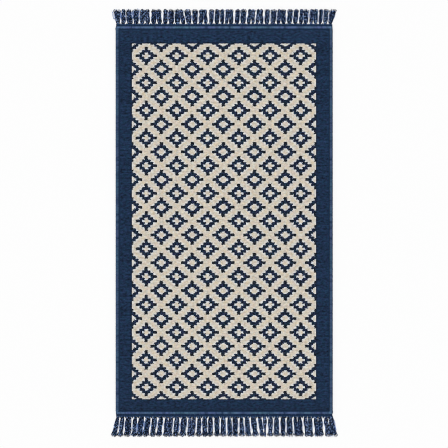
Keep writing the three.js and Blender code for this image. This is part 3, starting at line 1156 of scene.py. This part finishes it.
def lay_loose_fibres(skein, rng, heading, place, near, far, count):
    """Thin fibres that have come away and lie in a gap."""
    share = np.linspace(0, 1, FIBRE_POINTS)
    for _ in range(count):
        varied = drawn(rng, FIBRE_RANGES)
        curl = varied.curl * np.sin(math.pi * share * varied.curls)
        x = place + varied.start + varied.lean * share + curl
        y = heading + (near + varied.near) + (far - near + varied.length) * share
        z = FIBRE_HEIGHT[0] + FIBRE_HEIGHT[1] * np.sin(math.pi * share)
        skein.lay(np.stack([x, y, z], 1), varied.girth, STRAY_TONE, varied.turn)


def lay_stubs(skein, rng, edge, place, width, reach, look):
    """Short stubs of yarn in the mouth of a gap."""
    ranges = {"place": (-0.4, 0.4), "length": reach, "lean": (-0.4, 0.4), "tone": (0, 0.5), "turn": (0, 6)}
    for _ in range(int(width / look.stub_spacing)):
        varied = drawn(rng, ranges)
        x = place + width * varied.place + varied.lean * np.arange(STUB_POINTS)
        y = np.linspace(edge - STUB_DEPTH, edge + varied.length, STUB_POINTS)
        line = np.stack([x, y, np.full(STUB_POINTS, STUB_HEIGHT)], 1)
        skein.lay(line, STUB_GIRTHS, varied.tone, varied.turn)


def lay_heading(skein, rng, inner_edge, half_width, width, look):
    """The heading's cords, side by side on its tape, each one twisted the other way from the one before."""
    girth = width / look.heading_cords / 2
    reach = half_width - girth
    for cord in range(look.heading_cords):
        x = np.linspace(-reach, reach, CORD_POINTS) * (-1) ** cord
        y = np.full(CORD_POINTS, inner_edge + (2 * cord + 1) * girth) + CORD_WAVE * np.sin(x / 9 + 2 * cord)
        z = np.full(CORD_POINTS, look.tape_height + girth * 0.9)
        outwards = cord / (look.heading_cords - 1)
        skein.lay(np.stack([x, y, z], 1), girth, HEADING_TONE - outwards, rng.uniform(0, 6))


def opened_gaps(fringe):
    """A fringe's gaps from left to right as it points towards +Y, opened, all but its two sides."""
    facing = fringe["facing"]
    at_root, at_tip = fringe["opening"]
    first, *inner, last = fringe["gaps"]
    gaps = [first]
    for root, width, tip, tip_width in inner:
        gaps.append((root, width + at_root, tip, tip_width + at_tip * (tip_width > 0)))
    gaps.append(last)
    return [(facing * root, width, facing * tip, tip_width) for root, width, tip, tip_width in gaps[::facing]]


def fringe_skein(fringe, inner_edge, half_width, look):
    """All the yarns of one fringe as it points towards +Y: heading, tassels, stubs and loose fibres."""
    rng = np.random.default_rng(look.seed)
    skein = Skein()
    lay_heading(skein, rng, inner_edge, half_width, fringe["heading_width"], look)
    outer_edge = inner_edge + fringe["heading_width"]
    gaps = opened_gaps(fringe)
    for left_gap, right_gap in zip(gaps, gaps[1:]):
        form = tassel_form(left_gap, right_gap, outer_edge, fringe, look)
        lay_yarns(skein, rng, form, look)
        fill_tassel(skein, form, look)
        lay_strays(skein, rng, form, look)
    for place, width, _, _ in gaps:
        lay_stubs(skein, rng, outer_edge, place, width, fringe["stubs"], look)
    for place, near, far, count in fringe["loose"]:
        lay_loose_fibres(skein, rng, outer_edge, fringe["facing"] * place, near, far, count)
    return skein


def yarn_rule(material):
    """Makes each line into a yarn of two plies that wind round one another, on the tape of the heading."""
    inputs = {
        "Point Spacing": "Float",
        "Twist Length": "Float",
        "Sides": "Int",
        "Tape Size": "Vector",
        "Tape Middle": "Vector",
    }
    bench, reading = new_rule("Twisted yarn", inputs)
    parted = {"Geometry": reading["Geometry"], "Selection": bench.stored("filling") > 0.5}
    take = ("Selection", "Inverted")
    bodies, rest = bench.add("GeometryNodeSeparateGeometry", {"domain": "POINT"}, parted, take)
    lines = bench.add("GeometryNodeMeshToCurve", values={"Mesh": rest})
    spacing = {"Curve": lines, "Length": reading["Point Spacing"]}
    spaced = bench.add("GeometryNodeResampleCurve", {"mode": "LENGTH"}, spacing)
    girth = bench.stored("girth")
    across = bench.stored("across", "FLOAT_VECTOR")
    turn = bench.stored("turn") + bench.stored("along") / reading["Twist Length"] * (2 * math.pi)
    plies = []
    for ply in (0, 1):
        winding = turn + ply * math.pi
        reach = girth * PLY_OFFSET
        offset = {
            "Vector": bench.brighter(across, winding.cosine() * reach),
            "Vector_001": bench.point(0.0, 0.0, winding.sine() * reach),
        }
        wound = bench.moved(spaced, Offset=bench.add("ShaderNodeVectorMath", {"operation": "ADD"}, offset))
        yarn = bench.tube(wound, reading["Sides"], 1.0, Scale=girth * PLY_RADIUS)
        plies.append(bench.marked(yarn, "ply", float(ply)))
    tape = bench.add("GeometryNodeMeshCube", values={"Size": reading["Tape Size"]}, take="Mesh")
    shift = {"Geometry": tape, "Translation": reading["Tape Middle"]}
    laid = bench.add("GeometryNodeTransform", values=shift)
    finish_rule(bench, bench.joined(*plies, laid, bodies), material)
    return bench


def yarn_finish(look):
    """The fringe's material: navy plies that turn greyer blue in stretches, partly faded yarn and partly
    painted sheen, and a bluer heading.
    """
    material, bench = new_finish("Fringe yarn", YARN_FINISH)
    x, y, z = bench.place()
    tone = bench.mesh_value("tone")
    ply = bench.mesh_value("ply")

    # Each yarn's stretches are its own, because its tone is their layer of noise
    patch = bench.noise(x * FADED_SHEEN_GRAIN[0], y * FADED_SHEEN_GRAIN[1], tone * 20, detail=1.0)
    # The lighter stretches are partly faded yarn and partly painted sheen on the plies
    faded_and_sheen = (patch + (tone - 0.5) * 0.22 + (ply - 0.5) * 0.05).smooth(0.455, 0.585) * look.fading_and_sheen
    hue = bench.noise(x * HUE_GRAIN[0], y * HUE_GRAIN[1], 4.0).smooth(0.38, 0.62)
    dark = bench.blend(look.dark_teal, look.dark_violet, hue)
    light = bench.blend(look.faded_sheen_blue, look.faded_sheen_violet, bench.lot((tone * 97).floor()))
    # Painted light and shade: a speckle makes the colour brighter and darker in small patches, for light
    # catching the plies
    light_and_shade_speckle = bench.noise(x * SPECKLE_GRAIN[0], y * SPECKLE_GRAIN[1], detail=0.0).smooth(0.38, 0.64, 0.3, 2.1)
    colour = bench.brighter(bench.blend(dark, light, faded_and_sheen), light_and_shade_speckle)

    # The middle one of the heading's cords is the darkest and the outermost one the lightest
    heading = bench.brighter(look.heading, 0.5 + patch * 0.5 + (HEADING_TONE - 0.37 - tone) ** 2 * 1.8)
    colour = bench.blend(colour, heading, tone < HEADING_TONE / 2)
    stray = bench.brighter(look.stray, 0.7 + patch * 0.6)
    colour = bench.blend(colour, stray, tone > STRAY_TONE - 0.5)
    # Painted shade: every part of the fringe, the heading too, is painted darker the nearer it lies to the
    # floor, over the lowest 3 mm
    colour = bench.brighter(colour, z.smooth(0.0, 3 * MM, 0.7, 1.0))
    fibres = bench.noise(*(place * often for place, often in zip((x, y, z), FIBRE_GRAIN)))
    bench.dress(colour, fibres, 0.4 * MM, 0.84 + fibres * 0.12)
    return material


class FringeSettings(bpy.types.PropertyGroup):
    """Sizes and colours of the tassels."""

    yarn_girth: length_setting("Yarn Radius", "Half the thickness of a twisted yarn", 0.00135)
    twist_length: length_setting("Twist Length", "Length of one turn of the twist", 0.009)
    point_spacing: length_setting("Point Spacing", "Length of one facet of a yarn", 0.002)
    root_depth: number_setting(
        "Root Depth", "How far a tassel reaches under its heading, in millimetres", 3.0
    )
    lift_length: number_setting("Lift Length", "Length over which a tassel thickens, in millimetres", 5.0)
    gap_reach: number_setting(
        "Gap Reach", "Share of the length where a gap has its width of the tips", 0.58
    )
    stub_spacing: number_setting(
        "Stub Spacing", "Millimetres of a gap's width for each short stub in it", 0.9
    )
    tip_round: number_setting("Tip Round", "How much shorter a tassel's sides are, in millimetres", 2.8)
    filling_short: number_setting(
        "Filling Short", "How far a tassel's inner fibres stop before its tips, in millimetres", 5.5
    )
    side_shade: share_setting("Side Shade", "How much less a tassel's sides have faded", 0.5)
    strays: count_setting("Strays", "Stray strands on each side of a tassel", 3)
    heading_cords: count_setting("Heading Cords", "Cords side by side on a heading", 3)
    tape_height: number_setting(
        "Tape Height", "Thickness of the tape under the cords, in millimetres", 2.2
    )
    # The fading and the faded colours below are partly faded yarn and partly painted sheen
    fading_and_sheen: share_setting("Fading", "How far the lightest yarn has faded", 1.0)
    seed: count_setting("Seed", "Seed of the tassels' unevenness", 11)
    dark_teal: colour_setting("Dark Teal", "Greenest navy yarn", 5, 29, 53)
    dark_violet: colour_setting("Dark Violet", "Reddest navy yarn", 13, 27, 59)
    faded_sheen_blue: colour_setting("Faded Blue", "Faded yarn, bluest", 84, 107, 137)
    faded_sheen_violet: colour_setting("Faded Violet", "Faded yarn, reddest", 98, 110, 144)
    stray: colour_setting("Stray", "Thin strands that have come away", 116, 148, 205)
    heading: colour_setting("Heading", "Yarn of the heading's cords", 32, 58, 92)


class RUG_OT_tie_fringes(bpy.types.Operator):
    """Ties the tassels of both ends to their headings"""

    bl_idname = "rug.tie_fringes"
    bl_label = "Tie Fringes"

    def execute(self, context):
        look = context.scene.rug_fringe
        material = yarn_finish(look)
        bench = yarn_rule(material)
        settings = {
            "Point Spacing": look.point_spacing,
            "Twist Length": look.twist_length,
            "Sides": PLY_SIDES,
        }
        for node, fringe in FRINGES.items():
            low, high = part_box("binding_top" if fringe["facing"] > 0 else "binding_bottom")
            inner_edge = max(abs(low.y), abs(high.y)) / MM + HEADING_CLEAR
            half_width = high.x / MM + HEADING_OVERHANG
            skein = fringe_skein(fringe, inner_edge, half_width, look)
            start = inner_edge - TAPE_TUCK
            end = inner_edge + fringe["heading_width"] - TAPE_SHORT
            height = look.tape_height
            settings["Tape Size"] = (2 * (half_width - TAPE_SHORT) * MM, (end - start) * MM, height * MM)
            settings["Tape Middle"] = (0.0, (start + end) / 2 * MM, height / 2 * MM)
            piece = made_by_rule("rug_" + node, skein.mesh(node + " base"), bench, settings)
            if fringe["facing"] < 0:
                piece.data.transform(Matrix.Rotation(math.pi, 4, "Z"))
            fitted(piece, "fringe_yarn", node)
        return {"FINISHED"}


class RUG_OT_lay_rug(bpy.types.Operator):
    """Leaves the rug as it is: the other steps already make it lie flat"""

    bl_idname = "rug.lay_rug"
    bl_label = "Lay Rug"

    def execute(self, context):
        return {"FINISHED"}


# The stage

# How far the floor reaches each way, how the lamp is turned, in degrees, how many pixels wide the photo is,
# and how many of them its middle lies from the rug's
FLOOR_REACH = 12.0
LAMP_TURN = (-22, -8, 0)
PHOTO_WIDTH = 448
PHOTO_MIDDLE = (-0.25, -3.75)


class StageSettings(bpy.types.PropertyGroup):
    """The floor, the light and the camera."""

    floor: linear_colour_setting("Floor", "Colour of the floor", (0.93, 0.93, 0.93))
    sky: number_setting("Sky", "Strength of the light from all round", 0.36)
    lamp: number_setting("Lamp", "Strength of the soft lamp", 2.4)
    lamp_width: angle_setting("Lamp Width", "How wide the lamp looks from the rug", math.radians(30))
    lens: number_setting("Lens", "Focal length in millimetres", 100.0)
    softness: number_setting("Softness", "How far the camera blurs a point, in pixels", 1.0)


def add_floor(scene, look):
    """A plain matt floor at z = 0."""
    mesh = bpy.data.meshes.new("floor")
    corners = [(-1, -1), (1, -1), (1, 1), (-1, 1)]
    mesh.from_pydata([(x * FLOOR_REACH, y * FLOOR_REACH, 0) for x, y in corners], [], [(0, 1, 2, 3)])
    finish = {"Base Color": look.floor, "Roughness": 1.0, "Specular IOR Level": 0.0}
    mesh.materials.append(new_finish("Pale floor", finish)[0])
    floor = bpy.data.objects.new("floor", mesh)
    scene.collection.objects.link(floor)


def add_light(scene, look):
    """An even sky and one soft lamp."""
    scene.world = bpy.data.worlds.new("Studio")
    scene.world.use_nodes = True
    sky = scene.world.node_tree.nodes["Background"]
    sky.inputs["Color"].default_value = (1.0, 1.0, 1.0, 1.0)
    sky.inputs["Strength"].default_value = look.sky
    light = bpy.data.lights.new("Soft lamp", "SUN")
    light.energy = look.lamp
    light.angle = look.lamp_width
    lamp = bpy.data.objects.new("Soft lamp", light)
    lamp.rotation_euler = [math.radians(turn) for turn in LAMP_TURN]
    scene.collection.objects.link(lamp)


def add_camera(scene, look):
    """A camera straight above, as far up as makes the rug as large in the picture as it is in the photo."""
    view = bpy.data.cameras.new("Camera")
    view.lens = look.lens
    view.clip_end = 100
    distance = PHOTO_WIDTH * PIXEL * look.lens / view.sensor_width
    camera = bpy.data.objects.new("Camera", view)
    x, y = PHOTO_MIDDLE
    camera.location = (x * PIXEL, y * PIXEL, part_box("woven_panel")[1].z + distance)
    scene.collection.objects.link(camera)
    scene.camera = camera


class RUG_OT_set_stage(bpy.types.Operator):
    """Sets the floor, the soft light and the camera straight above"""

    bl_idname = "rug.set_stage"
    bl_label = "Set Stage"

    def execute(self, context):
        scene = context.scene
        look = scene.rug_stage
        scene.view_settings.view_transform = "Standard"
        scene.cycles.filter_width = look.softness
        add_floor(scene, look)
        add_light(scene, look)
        add_camera(scene, look)
        return {"FINISHED"}


class RUG_PT_workshop(bpy.types.Panel):
    """Lists the steps that make the rug, with their sizes and colours"""

    bl_idname = "RUG_PT_workshop"
    bl_label = "Kilim Rug"
    bl_space_type = "VIEW_3D"
    bl_region_type = "UI"
    bl_category = "Rug"

    def draw(self, context):
        for step, settings in STEPS.items():
            box = self.layout.box()
            box.operator(step.bl_idname)
            if settings:
                group = getattr(context.scene, settings)
                for name in group.__annotations__:
                    box.prop(group, name)


SETTINGS = {
    "rug_cloth": ClothSettings,
    "rug_binding": BindingSettings,
    "rug_fringe": FringeSettings,
    "rug_stage": StageSettings,
}
STEPS = {
    RUG_OT_weave_cloth: "rug_cloth",
    RUG_OT_bind_edges: "rug_binding",
    RUG_OT_tie_fringes: "rug_fringe",
    RUG_OT_lay_rug: None,
    RUG_OT_set_stage: "rug_stage",
}


def register():
    for name, group in SETTINGS.items():
        bpy.utils.register_class(group)
        setattr(bpy.types.Scene, name, PointerProperty(type=group))
    for step in STEPS:
        bpy.utils.register_class(step)
    bpy.utils.register_class(RUG_PT_workshop)


def unregister():
    bpy.utils.unregister_class(RUG_PT_workshop)
    for step in reversed(STEPS):
        bpy.utils.unregister_class(step)
    for name, group in reversed(SETTINGS.items()):
        delattr(bpy.types.Scene, name)
        bpy.utils.unregister_class(group)


def main():
    register()
    bpy.ops.rug.weave_cloth()
    bpy.ops.rug.bind_edges()
    bpy.ops.rug.tie_fringes()
    bpy.ops.rug.lay_rug()
    bpy.ops.rug.set_stage()


if __name__ == "__main__":
    main()
